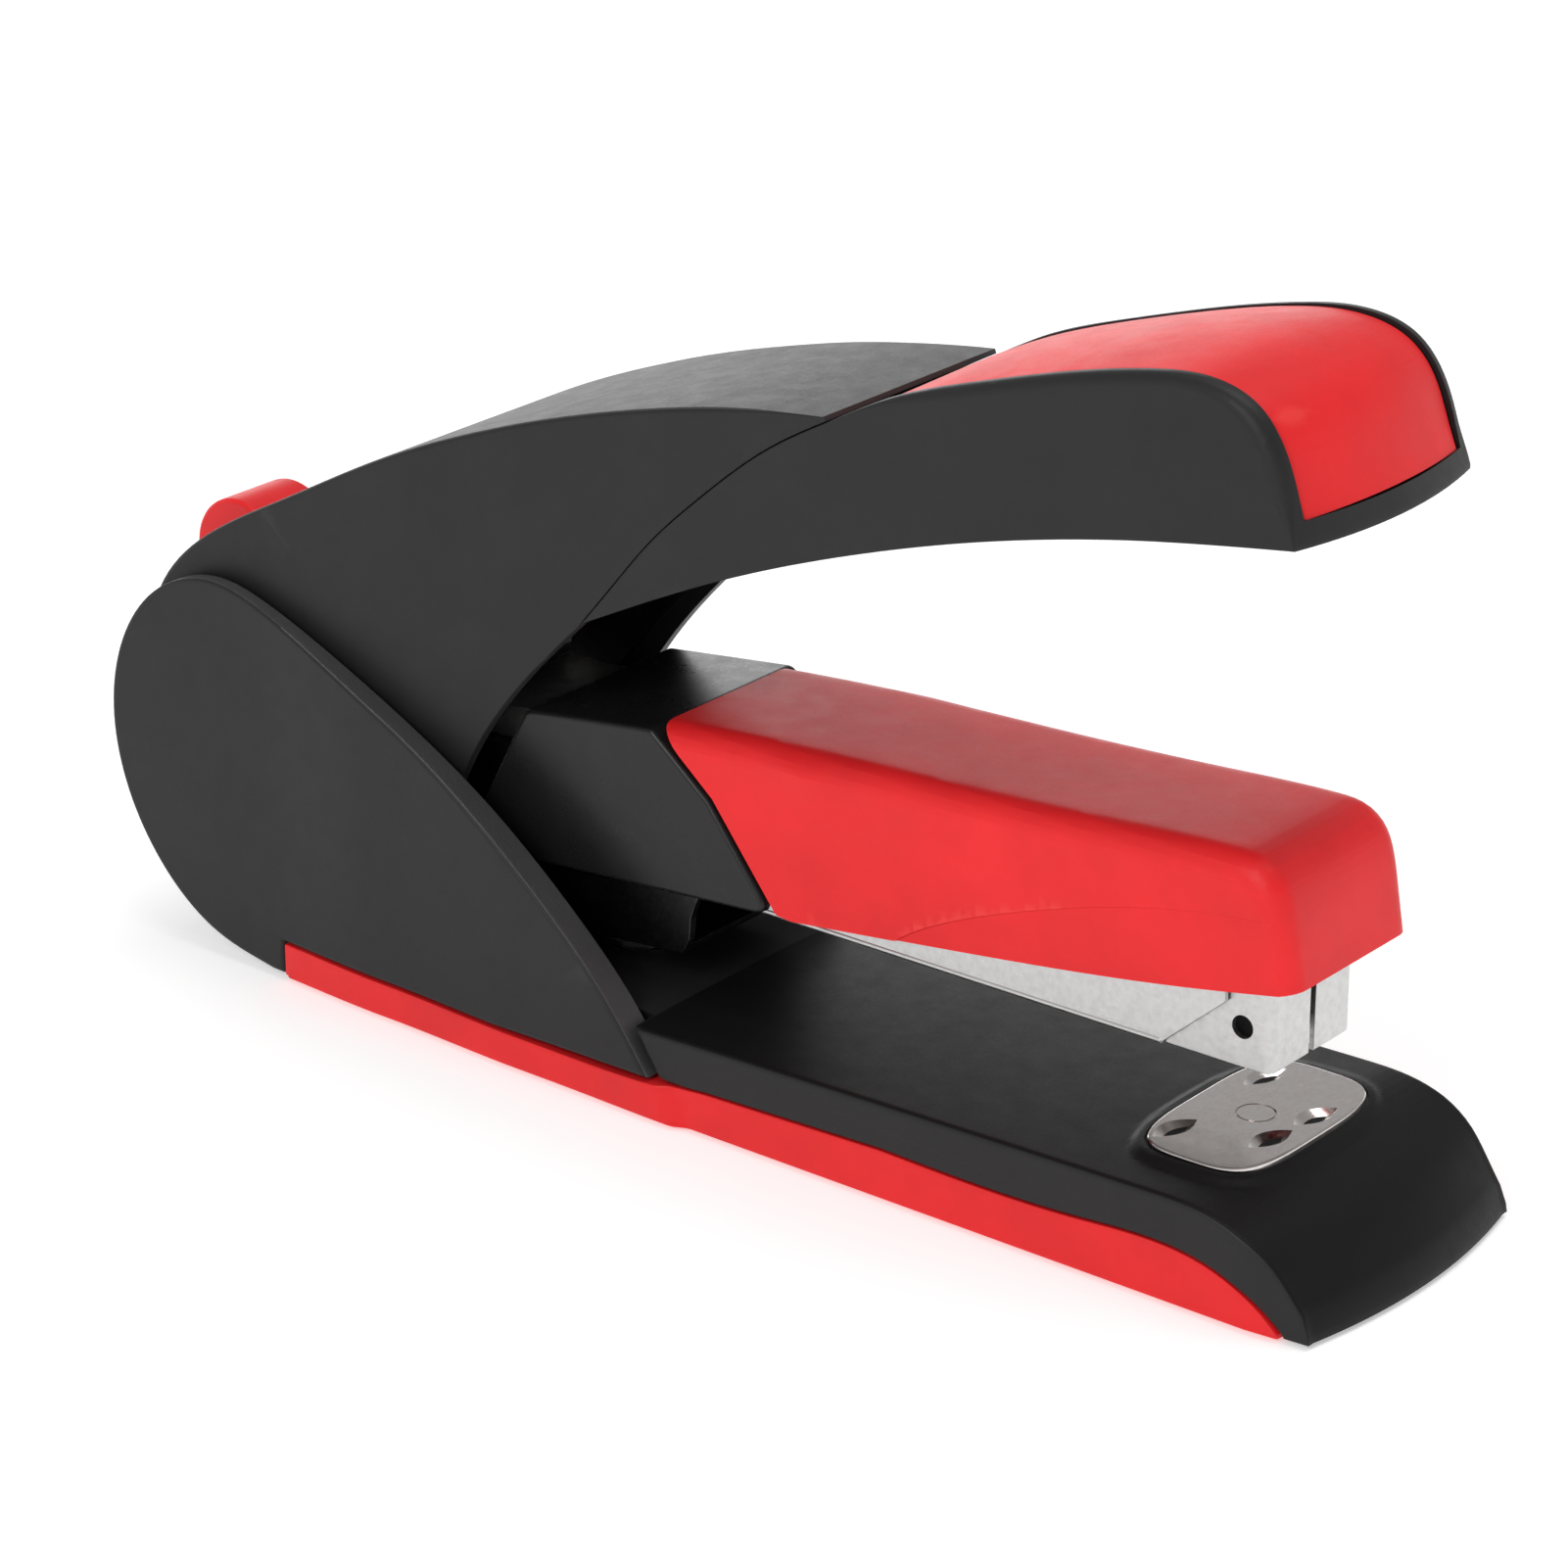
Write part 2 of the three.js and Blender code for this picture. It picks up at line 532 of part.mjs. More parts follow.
function drawerCatch() {
  const outline = [
    [-45.6, 18.4], [-44.4, 18.4], [-44.4, 27], [-41, 27],
    [-41, 31.4], [-42.2, 31.4], [-42.2, 28.2], [-45.6, 28.2],
  ];
  return side(outline, -4, 4);
}

piece('head_cover', headCover(), redPlastic());
piece('arm_housing', armHousing(), blackPlastic());
piece('arm_frame', armFrame(), steel());
piece('magazine_channel', magazineChannel(), nickel());
piece('drawer_catch', drawerCatch(), darkSteel());

// ---------------------------------------------------------------- driver

function driverLever() {
  const over = smooth([
    [-75, 15], [-72, 27], [-62, 35.4], [-50, 37.2], [-38, 37.7], [-24, 38.4], [20, 41.4], [66.6, 44.2],
  ], 20);
  const under = [
    [66.6, 41.2], [20, 38.5], [-30, 34.2], [-52, 33], [-60, 29.6],
    [-64.6, 22], [-65.4, 13.4], [-69, 11.4], [-73.6, 12.2],
  ];
  const waist = [[-90, HALF.lever], [30, HALF.lever], [52, 5.6], [67.4, 5.6]];
  const outer = side([...over, ...under], -HALF.lever, HALF.lever);
  const slab = outer.intersect(plan([...waist, ...mirrored(waist)], 0, 60));
  const roof = offset(over, -1.4).slice(6, -1);
  const inner = side([[-90, -5], [-90, 20], [-70, 26], ...roof, [63, 30], [63, -5]], -7.2, 7.2);
  const narrow = block(40, 63, -4.4, 4.4, 30, 42.4);
  return cut(
    slab,
    inner.intersect(block(-90, 44, -7.2, 7.2, -5, 60)),
    narrow,
    across(ARM_PIVOT.x, ARM_PIVOT.z, ARM_PIVOT.r + GAP, -20, 20),
  );
}

function driverBlade() {
  const { x, thick, half, bottom, top } = BLADE;
  return block(x - thick / 2, x + thick / 2, -half, half, bottom, top);
}

piece('driver_lever', driverLever(), steel());
piece('driver_blade', driverBlade(), steel());

// ---------------------------------------------------------------- drawer

function drawerRail() {
  const rail = cut(
    block(PLUG.rear, NOSE.rear + 1, -HALF.railOuter, HALF.railOuter, 23.6, 29.9),
    block(-60, 80, -HALF.railInner, HALF.railInner, 24.4, 40),
  );
  const noseShell = cut(
    block(NOSE.rear, NOSE.front, -NOSE.half, NOSE.half, NOSE.bottom, NOSE.top),
    block(NOSE.rear - 5, NOSE.front - NOSE.sheet, -HALF.railInner, HALF.railInner, NOSE.bottom + 0.8, 40),
    block(67.2, NOSE.front - NOSE.sheet, -HALF.railInner, HALF.railInner, 20, 40),
    block(69, 72, -0.5, 0.5, 20, 40),
    side([[50, 20], [57.6, 20], [66, 33.5], [50, 33.5]], -9, 9).intersect(block(50, 70, -9, 9, 30.3, 40)),
  );
  return cut(join(rail, noseShell), across(66.6, 26.8, 1.3, -10, 10, 16));
}

function stapleStrip() {
  const { rear, front, half, bottom, top, wire } = STRIP;
  const section = [
    [-half, bottom], [-half + wire, bottom], [-half + wire, top - wire], [half - wire, top - wire],
    [half - wire, bottom], [half, bottom], [half, top], [-half, top],
  ];
  return bar(section, rear, front);
}

function staplePusher() {
  const body = block(PUSHER.rear, PUSHER.front, -6, 6, 24.8, 30);
  return cut(body, lengthwise(0, ROD.z, ROD.r + GAP, -60, 80));
}

function drawerPlug() {
  return cut(block(PLUG.rear, PLUG.front, -6.2, 6.2, 24.7, 30.2), lengthwise(0, ROD.z, ROD.r + GAP, -60, 80));
}

piece('drawer_rail', drawerRail(), nickel());
piece('drawer_plug', drawerPlug(), greyPlastic());
piece('guide_rod', lengthwise(0, ROD.z, ROD.r, ROD.rear, ROD.front), steel());
piece('staple_strip', stapleStrip(), steel());
piece('staple_pusher', staplePusher(), greyPlastic());
piece('pusher_spring', coil([-35.2, 0, ROD.z], [1, 0, 0], 1.75, 39.4, 12, 0.35), steel());

export default object;
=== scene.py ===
"""Looks of the compound-lever desk stapler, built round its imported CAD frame.

Outlines are in millimetres in the frame of the CAD, and meshes in metres. +X runs to the nose,
+Y to the stapler's left side and +Z up.
"""

import math

import bmesh
import bpy
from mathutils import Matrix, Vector


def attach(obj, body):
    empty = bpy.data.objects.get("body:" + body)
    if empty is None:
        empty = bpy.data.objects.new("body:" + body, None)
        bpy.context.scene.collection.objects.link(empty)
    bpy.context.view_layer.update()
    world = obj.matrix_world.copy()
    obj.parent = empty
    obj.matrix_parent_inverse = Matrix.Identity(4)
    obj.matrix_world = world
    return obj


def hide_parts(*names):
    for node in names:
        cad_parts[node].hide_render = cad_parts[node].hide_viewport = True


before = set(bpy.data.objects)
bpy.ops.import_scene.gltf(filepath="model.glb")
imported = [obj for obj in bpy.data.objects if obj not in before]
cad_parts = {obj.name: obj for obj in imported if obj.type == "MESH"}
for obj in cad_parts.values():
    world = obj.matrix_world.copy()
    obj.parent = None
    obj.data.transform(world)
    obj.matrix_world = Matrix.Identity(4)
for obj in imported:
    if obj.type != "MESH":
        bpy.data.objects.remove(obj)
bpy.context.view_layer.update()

MM = 0.001

# ------------------------------------------------------------------ outlines


def spline(points, steps):
    """Points at even steps along a natural cubic curve through points, ends included."""
    gaps = [math.dist(a, b) for a, b in zip(points, points[1:])]
    last = len(points) - 1
    bends = [[0.0, 0.0] for _ in points]
    for axis in (0, 1):
        share, value = [0.0], [0.0]
        for i in range(1, last):
            before, after = gaps[i - 1], gaps[i]
            rise = (points[i + 1][axis] - points[i][axis]) / after
            rise -= (points[i][axis] - points[i - 1][axis]) / before
            pivot = 2 * (before + after) - before * share[-1]
            share.append(after / pivot)
            value.append((6 * rise - before * value[-1]) / pivot)
        for i in range(last - 1, 0, -1):
            bends[i][axis] = value[i] - share[i] * bends[i + 1][axis]
    total, result, index, done = sum(gaps), [], 0, 0.0
    for step in range(steps + 1):
        place = total * step / steps
        while index < last - 1 and place > done + gaps[index]:
            done += gaps[index]
            index += 1
        gap = gaps[index]
        b = (place - done) / gap
        a = 1 - b
        result.append(
            tuple(
                a * points[index][k]
                + b * points[index + 1][k]
                + ((a**3 - a) * bends[index][k] + (b**3 - b) * bends[index + 1][k]) * gap**2 / 6
                for k in (0, 1)
            )
        )
    return result


def offset(points, distance):
    """An open outline moved sideways, to the left of its direction of travel."""
    moved = []
    for i, (x, z) in enumerate(points):
        ax, az = points[max(i - 1, 0)]
        bx, bz = points[min(i + 1, len(points) - 1)]
        length = math.hypot(bx - ax, bz - az)
        moved.append((x - (bz - az) / length * distance, z + (bx - ax) / length * distance))
    return moved


def tidy(outline, closest=0.04):
    """A closed outline without points that lie on each other."""
    kept = []
    for point in outline:
        if not kept or math.dist(point, kept[-1]) > closest:
            kept.append(point)
    if math.dist(kept[0], kept[-1]) <= closest:
        kept.pop()
    return kept


def rounded(outline, radius, least=28, steps=5):
    """A closed outline with every corner that turns by more than least degrees rounded."""
    outline = tidy(outline)
    count = len(outline)
    result = []
    for i, point in enumerate(outline):
        before, here, after = (Vector(outline[j % count]) for j in (i - 1, i, i + 1))
        back, ahead = before - here, after - here
        turn = math.pi - back.angle(ahead)
        if math.degrees(turn) < least:
            result.append(tuple(point))
            continue
        reach = min(radius * math.tan(turn / 2), 0.45 * back.length, 0.45 * ahead.length)
        start, end = here + back.normalized() * reach, here + ahead.normalized() * reach
        for k in range(steps + 1):
            t = k / steps
            result.append(tuple((1 - t) ** 2 * start + 2 * t * (1 - t) * here + t * t * end))
    return tidy(result)


def rectangle(x0, x1, y0, y1):
    return [(x0, y0), (x1, y0), (x1, y1), (x0, y1)]


def circle(x, y, radius, count=48):
    turns = [2 * math.pi * i / count for i in range(count)]
    return [(x + radius * math.cos(t), y + radius * math.sin(t)) for t in turns]


def ramp(x, start, end):
    """Climbs smoothly from 0 at start to 1 at end."""
    t = min(max((x - start) / (end - start), 0), 1)
    return t * t * (3 - 2 * t)


def along(table, x):
    """A value read from pairs of place and value, with smooth steps in between."""
    if x <= table[0][0]:
        return table[0][1]
    for (x0, v0), (x1, v1) in zip(table, table[1:]):
        if x <= x1:
            return v0 + (v1 - v0) * ramp(x, x0, x1)
    return table[-1][1]


# ------------------------------------------------------------------ solids


def ring_offsets(outline):
    """The inward direction at each point of a closed outline, mitred at the corners."""
    count = len(outline)
    area = sum(
        outline[i - 1][0] * outline[i][1] - outline[i][0] * outline[i - 1][1] for i in range(count)
    )
    sign = 1 if area > 0 else -1
    inward = []
    for i in range(count):
        (ax, az), (bx, bz), (cx, cz) = outline[i - 1], outline[i], outline[(i + 1) % count]
        first = Vector((-(bz - az), bx - ax)).normalized() * sign
        second = Vector((-(cz - bz), cx - bx)).normalized() * sign
        inward.append((first + second) / max(1 + first.dot(second), 0.35))
    return inward


def prism(outline, low, high, low_round=0.0, high_round=0.0, axis="y", rings=4):
    """A closed mesh of an outline between two levels along an axis, with rounded rims.

    A rim's radius is a number, or a function of the outline's two coordinates.
    """
    outline = tidy(outline)
    inward = ring_offsets(outline)

    def level(base, direction, radius):
        reach = [radius(*p) if callable(radius) else radius for p in outline]
        angles = [math.pi / 2 * k / rings for k in range(rings + 1)] if max(reach) > 0 else [0]
        for angle in angles:
            yield [
                (
                    p[0] + n.x * r * (1 - math.sin(angle)),
                    p[1] + n.y * r * (1 - math.sin(angle)),
                    base + direction * r * (1 - math.cos(angle)),
                )
                for p, n, r in zip(outline, inward, reach)
            ]

    loops = list(level(low, 1, low_round)) + list(level(high, -1, high_round))[::-1]
    order = {"y": (0, 2, 1), "z": (0, 1, 2), "x": (2, 0, 1)}[axis]
    bm = bmesh.new()
    made = [[bm.verts.new([p[i] * MM for i in order]) for p in loop] for loop in loops]
    count = len(outline)
    for lower, upper in zip(made, made[1:]):
        for i in range(count):
            j = (i + 1) % count
            bm.faces.new((lower[i], lower[j], upper[j], upper[i]))
    bm.faces.new(made[0][::-1])
    bm.faces.new(made[-1])
    bmesh.ops.remove_doubles(bm, verts=bm.verts, dist=2e-6)
    bmesh.ops.recalc_face_normals(bm, faces=bm.faces)
    return to_object(bm)


def to_object(bm, name="tool"):
    mesh = bpy.data.meshes.new(name)
    bm.to_mesh(mesh)
    bm.free()
    obj = bpy.data.objects.new(name, mesh)
    bpy.context.scene.collection.objects.link(obj)
    return obj


def applied(obj):
    """Leaves obj's mesh as its modifiers make it."""
    graph = bpy.context.evaluated_depsgraph_get()
    mesh = bpy.data.meshes.new_from_object(obj.evaluated_get(graph))
    obj.modifiers.clear()
    obj.data = mesh


def combine(obj, *tools, how="DIFFERENCE"):
    """obj with tools cut from it, joined to it, or kept in common with it."""
    for tool in tools:
        modifier = obj.modifiers.new("combine", "BOOLEAN")
        modifier.operation = how
        modifier.solver = "EXACT"
        modifier.object = tool
    applied(obj)
    for tool in tools:
        bpy.data.objects.remove(tool)
    return obj


def reshape(obj, move, xs=(), ys=(), zs=()):
    """Cuts obj's faces along planes, in millimetres, and moves each point by a function."""
    bm = bmesh.new()
    bm.from_mesh(obj.data)
    bmesh.ops.triangulate(bm, faces=[face for face in bm.faces if len(face.verts) > 4])
    for axis, cuts in enumerate((xs, ys, zs)):
        normal = [0.0, 0.0, 0.0]
        normal[axis] = 1.0
        for place in cuts:
            point = [n * place * MM for n in normal]
            geometry = bm.verts[:] + bm.edges[:] + bm.faces[:]
            bmesh.ops.bisect_plane(bm, geom=geometry, dist=1e-7, plane_co=point, plane_no=normal)
    for vertex in bm.verts:
        vertex.co = Vector(move(*(vertex.co / MM))) * MM
    bmesh.ops.dissolve_degenerate(bm, dist=1e-6, edges=bm.edges)
    bm.to_mesh(obj.data)
    bm.free()
    return obj


def places(start, end, step):
    """Even places from start to end, about step apart."""
    count = max(1, round((end - start) / step))
    return [start + (end - start) * i / count for i in range(count + 1)]


def set_normals(mesh, sharp):
    """Smooth shading across edges of under sharp degrees, where larger faces weigh more."""
    least = math.cos(math.radians(sharp))
    around = [[] for _ in mesh.vertices]
    for face in mesh.polygons:
        for index in face.vertices:
            around[index].append((face.normal.copy(), face.area))
    mesh.shade_smooth()
    normals = []
    for face in mesh.polygons:
        here = face.normal.copy()
        for index in face.vertices:
            total = Vector()
            for normal, area in around[index]:
                if normal.dot(here) > least:
                    total += normal * area
            normals.append(total.normalized() if total.length > 0 else here)
    mesh.normals_split_custom_set(normals)


def finish_piece(obj, name, body, looks, stands_for=(), edge=0.0, sharp=32, tops=None):
    """Names, shades and rides a new piece. tops is a second material, for all but the sides."""
    if edge:
        modifier = obj.modifiers.new("edge", "BEVEL")
        modifier.width = edge * MM
        modifier.segments = 2
        modifier.limit_method = "ANGLE"
        modifier.angle_limit = math.radians(40)
        applied(obj)
    obj.name = obj.data.name = name
    mesh = obj.data
    mesh.materials.clear()
    mesh.materials.append(looks)
    if tops is not None:
        mesh.materials.append(tops)
        for polygon in mesh.polygons:
            polygon.material_index = 1 if abs(polygon.normal.y) < 0.6 else 0
    set_normals(mesh, sharp)
    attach(obj, body)
    if stands_for:
        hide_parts(*stands_for)
    return obj


# ------------------------------------------------------------------ materials


class Looks:
    """A node-built material round one Principled shader, with coordinates in millimetres."""

    def __init__(self, name, **values):
        self.material = bpy.data.materials.new(name)
        self.material.use_nodes = True
        self.tree = self.material.node_tree
        self.shader = self.tree.nodes["Principled BSDF"]
        for socket, value in values.items():
            self.shader.inputs[socket.replace("_", " ")].default_value = value
        where = self.tree.nodes.new("ShaderNodeTexCoord")
        scale = self.tree.nodes.new("ShaderNodeVectorMath")
        scale.operation = "SCALE"
        scale.inputs["Scale"].default_value = 1 / MM
        self.tree.links.new(where.outputs["Object"], scale.inputs[0])
        self.position = scale.outputs[0]

    def link(self, source, target):
        self.tree.links.new(source, target)

    def noise(self, scale, detail=3.0, roughness=0.55, stretch=(1, 1, 1)):
        """Noise with about scale waves to the millimetre."""
        node = self.tree.nodes.new("ShaderNodeTexNoise")
        node.inputs["Scale"].default_value = scale
        node.inputs["Detail"].default_value = detail
        node.inputs["Roughness"].default_value = roughness
        spread = self.tree.nodes.new("ShaderNodeVectorMath")
        spread.operation = "MULTIPLY"
        spread.inputs[1].default_value = stretch
        self.link(self.position, spread.inputs[0])
        self.link(spread.outputs[0], node.inputs["Vector"])
        return node.outputs["Fac"]

    def pointiness(self):
        return self.tree.nodes.new("ShaderNodeNewGeometry").outputs["Pointiness"]

    def spread(self, value, low, high, from_low=0.3, from_high=0.7):
        """A value from one range spread over another."""
        node = self.tree.nodes.new("ShaderNodeMapRange")
        node.inputs["From Min"].default_value = from_low
        node.inputs["From Max"].default_value = from_high
        node.inputs["To Min"].default_value = low
        node.inputs["To Max"].default_value = high
        self.link(value, node.inputs["Value"])
        return node.outputs["Result"]

    def math(self, operation, first, second):
        node = self.tree.nodes.new("ShaderNodeMath")
        node.operation = operation
        for socket, value in zip(node.inputs, (first, second)):
            if isinstance(value, (int, float)):
                socket.default_value = value
            else:
                self.link(value, socket)
        return node.outputs[0]

    def colours(self, value, first, second):
        """A mix of two colours, each given as numbers or as a socket."""
        node = self.tree.nodes.new("ShaderNodeMix")
        node.data_type = "RGBA"
        for socket, colour in (("A", first), ("B", second)):
            if isinstance(colour, (tuple, list)):
                node.inputs[socket].default_value = (*colour, 1)
            else:
                self.link(colour, node.inputs[socket])
        self.link(value, node.inputs["Factor"])
        return node.outputs["Result"]

    def bump(self, *layers):
        """Chains height layers, each a value with its height in millimetres."""
        normal = None
        for value, height in layers:
            node = self.tree.nodes.new("ShaderNodeBump")
            node.inputs["Strength"].default_value = 1
            node.inputs["Distance"].default_value = height * MM
            self.link(value, node.inputs["Height"])
            if normal is not None:
                self.link(normal, node.inputs["Normal"])
            normal = node.outputs["Normal"]
        self.link(normal, self.shader.inputs["Normal"])


def moulded(name, colour, edge_wear_and_highlight, rough, grain, grain_scale, specular=0.45):
    """Satin moulded plastic: fine spark-eroded grain, faint mottling, and convex edges lightened,
    partly for wear and partly as a painted highlight.
    """
    looks = Looks(name, Specular_IOR_Level=specular)
    mottle = looks.noise(0.09, 4)
    # Pointiness lightens convex edges to the edge colour: partly wear, partly a painted highlight
    # along the fillets.
    edges = looks.spread(looks.pointiness(), 0.0, 0.6, 0.53, 0.66)
    darker, lighter = ([share * c for c in colour] for share in (0.92, 1.08))
    tone = looks.colours(looks.spread(mottle, 0, 1), darker, lighter)
    looks.link(looks.colours(edges, tone, edge_wear_and_highlight), looks.shader.inputs["Base Color"])
    base = looks.spread(looks.noise(0.35, 3), rough - 0.03, rough + 0.04)
    fine = looks.spread(looks.noise(grain_scale, 2), -0.03, 0.03)
    looks.link(looks.math("ADD", base, fine), looks.shader.inputs["Roughness"])
    looks.bump((looks.noise(grain_scale, 2, 0.6), grain), (looks.noise(0.12, 2), 0.012))
    return looks.material


def metal(name, colour, dull, rough, brushed=(1, 1, 1), streak=0.004, spots=0.35):
    """Plated sheet: drawn streaks, cloudy tarnish and tiny dull spots."""
    looks = Looks(name, Metallic=1.0)
    cloud = looks.spread(looks.noise(spots, 5, 0.65), 0, 1, 0.42, 0.68)
    looks.link(looks.colours(cloud, colour, dull), looks.shader.inputs["Base Color"])
    lines = looks.noise(3.0, 4, 0.6, brushed)
    base = looks.spread(lines, rough - 0.05, rough + 0.07)
    tarnish = looks.math("MULTIPLY", cloud, 0.1)
    looks.link(looks.math("ADD", base, tarnish), looks.shader.inputs["Roughness"])
    looks.bump((lines, streak), (looks.noise(0.25, 3), 0.01))
    return looks.material


# Colour, colour of the edges (wear and painted highlight), roughness, the grain's height and waves
# to the millimetre, specular.
black_satin = moulded(
    "black_satin", (0.0145, 0.0145, 0.015), (0.03, 0.03, 0.031), 0.46, 0.006, 3.2, 0.24
)
black_grain = moulded(
    "black_grain", (0.02, 0.02, 0.0205), (0.045, 0.045, 0.046), 0.5, 0.035, 2.4, 0.6
)
# A lighter copy of the black plastic for the cheeks' front bands: the coarser grain is real, the
# lighter colour is painted light on these upward-facing bands.
black_band_painted_light = moulded("black_band_painted_light", (0.05, 0.05, 0.051), (0.08, 0.08, 0.081), 0.48, 0.06, 2.4, 0.6)
# A darker copy of black_satin for the deck's tops and the lowered floor: painted shade.
black_deck_painted_shade = moulded(
    "black_deck_painted_shade", (0.007, 0.007, 0.0075), (0.05, 0.05, 0.051), 0.46, 0.008, 3.2, 0.14
)
black_gloss = moulded(
    "black_gloss", (0.01, 0.01, 0.0105), (0.02, 0.02, 0.02), 0.3, 0.003, 2.0, 0.3
)
red_satin = moulded("red_satin", (0.74, 0.016, 0.019), (0.8, 0.05, 0.045), 0.44, 0.005, 3.0, 0.25)
red_strip = moulded("red_strip", (0.7, 0.013, 0.016), (0.78, 0.05, 0.045), 0.4, 0.005, 3.0, 0.25)
grey_moulded = moulded("grey_moulded", (0.05, 0.052, 0.055), (0.09, 0.09, 0.09), 0.5, 0.006, 3.0)
mat_rubber = moulded(
    "mat_rubber", (0.02, 0.02, 0.021), (0.035, 0.035, 0.035), 0.82, 0.03, 1.6, 0.3
)
# Colour, tarnished colour, roughness, stretch of the streaks, their height and the tarnish's waves.
zinc = metal("zinc_sheet", (0.62, 0.62, 0.61), (0.46, 0.46, 0.46), 0.34, (0.06, 1, 1.6))
bright = metal(
    "bright_sheet", (0.6, 0.6, 0.595), (0.55, 0.55, 0.545), 0.3, (0.05, 1, 1.8), 0.003, 1.1
)
nickel = metal(
    "polished_nickel", (0.72, 0.68, 0.66), (0.62, 0.57, 0.55), 0.12, (1, 0.3, 1), 0.0012, 0.5
)
oiled = metal(
    "oiled_steel", (0.05, 0.05, 0.052), (0.03, 0.03, 0.031), 0.34, (1, 0.4, 1), 0.002, 0.4
)
# Near-black metal only for the discs behind the drawer's holes: painted shade.
hole_shade_looks = metal(
    "hole_shade_steel", (0.012, 0.012, 0.012), (0.008, 0.008, 0.008), 0.5, (1, 1, 1), 0.003, 0.8
)

# ------------------------------------------------------------------ shared outlines and sizes

SHELL_TOP = spline(
    [(-83, 27), (-79.4, 43.2), (-59.8, 57.9), (-44.5, 66), (-25.8, 73.9), (-4.6, 80.4),
     (8.9, 83.2), (18.6, 84.4)],
    84,
)
SEAM = spline(
    [(-14.6, 53.9), (-9.7, 59.7), (-4.8, 65.4), (2.1, 71.9), (11.6, 79.5), (20, 84.4)], 36
)
GRIP_TOP = spline(
    [(20, 84.4), (25.6, 87.4), (36.6, 91.4), (48, 94.8), (57.6, 97), (65.3, 97.5), (69.7, 95.9),
     (72.6, 92.6), (74.7, 87.5), (76, 83.1)],
    90,
)
GRIP_BOTTOM = spline(
    [(76, 82.7), (58.1, 79.8), (36.9, 74.8), (20.1, 69.4), (4.7, 63.3), (-14.6, 53.9)], 48
)
SHELL_BOTTOM = spline(
    [(-14.9, 53.6), (-22.9, 45.4), (-31, 34.4), (-38, 22), (-52, 12), (-66, 10.5), (-78, 15)], 42
)
INSERT = spline(
    [(19.8, 84.1), (28, 88.1), (36.6, 91.2), (48, 94.6), (57.6, 96.8), (65.1, 97.2), (69.4, 95.6),
     (72.2, 92.4), (74, 88), (75.1, 85.2)],
    84,
)
CHEEK = spline(
    [(-60.5, 1), (-70, 3.2), (-79.2, 10.4), (-84, 19.2), (-85.25, 28), (-81.6, 39.4), (-75.8, 45),
     (-68.5, 47.2), (-61, 45.8), (-51.5, 42.1), (-39.3, 36.4), (-27.4, 29.6), (-15.8, 20.7),
     (-7.3, 12.5), (-1.8, 5.3)],
    130,
)
STRIP_TOP = spline([(-58.4, 4.8), (-25, 4.5), (1, 5), (6, 5.4)], 24) + spline(
    [(30, 6.2), (55, 6.4), (72, 6), (77.5, 3.3), (80, 1)], 40
)
DECK_EDGE = spline(
    [(-4.3, 10.5), (16, 11.2), (42, 11.9), (64, 12.4), (72.8, 11.7), (75.8, 10.5), (78.4, 8.8),
     (80.6, 6.3), (82.6, 3.6)],
    80,
)
HEAD_TOP = spline(
    [(-7.5, 42.8), (5.6, 43.9), (32.1, 45.2), (52, 46.4), (66, 47.2), (69.6, 46.8), (72, 45),
     (73.3, 42), (74, 38.4), (74.8, 33.7)],
    90,
)
HEAD_BOTTOM = spline([(74.8, 33.7), (61.3, 31.1), (36.6, 27.6), (11.4, 24.7)], 24)
EMBOSS = spline(
    [(19, 20), (25.5, 26.5), (31.4, 30), (39.5, 33.4), (53.1, 37.8), (63.4, 40.1), (80, 41.8)], 60
)

# Half widths by x, and the half width that each block has before it is shaped to them.
BASE_WIDTH = [
    (-65, 18.7), (-42, 19.8), (-20, 20.6), (-1.2, 21), (1.2, 20.15), (74, 20.15), (83.4, 19)
]
HANDLE_WIDTH = [
    (-45, 16), (-26, 15.4), (-5, 14.9), (9, 14.7), (20, 14.8), (40, 15.2), (62, 15.5), (75, 15.9)
]
BASE_HALF, HANDLE_HALF, HEAD_HALF = 20, 16, 12.2

# The step in the base's side leans by this much, and is where BASE_WIDTH says at this level.
STEP_SLANT, STEP_LEVEL = 0.47, 5.2
CHEEK_INNER = 16.9

# The anvil plate: its middle, its half sizes, how square its outline is, and its top's level.
PLATE_X, PLATE_LENGTH, PLATE_WIDTH, PLATE_POWER, PLATE_TOP = 64, 7.6, 13.25, 3.7, 13.4


def bowed(x, y, reach, start, end, half):
    """How far an end that is bowed in plan stands out: reach in the middle, 0 at half."""
    return reach * ramp(x, start, end) * (1 - min(abs(y) / half, 1) ** 2)


def base_side(x, y, z):
    """The base's outer wall follows its plan, with a slanting step behind the deck."""
    width = along(BASE_WIDTH, x + STEP_SLANT * (z - STEP_LEVEL) if x > -20 else x)
    return x, y * width / BASE_HALF, z


def handle_waist(x, y, z):
    """The handle narrows in the middle, and its end is bowed in plan."""
    width = along(HANDLE_WIDTH, x)
    less = HANDLE_HALF - width
    bow = bowed(x, y, 2.1, 52, 74, HANDLE_HALF)
    return x - 0.8 * less + bow, y * width / HANDLE_HALF, z - 0.52 * less


# ------------------------------------------------------------------ base


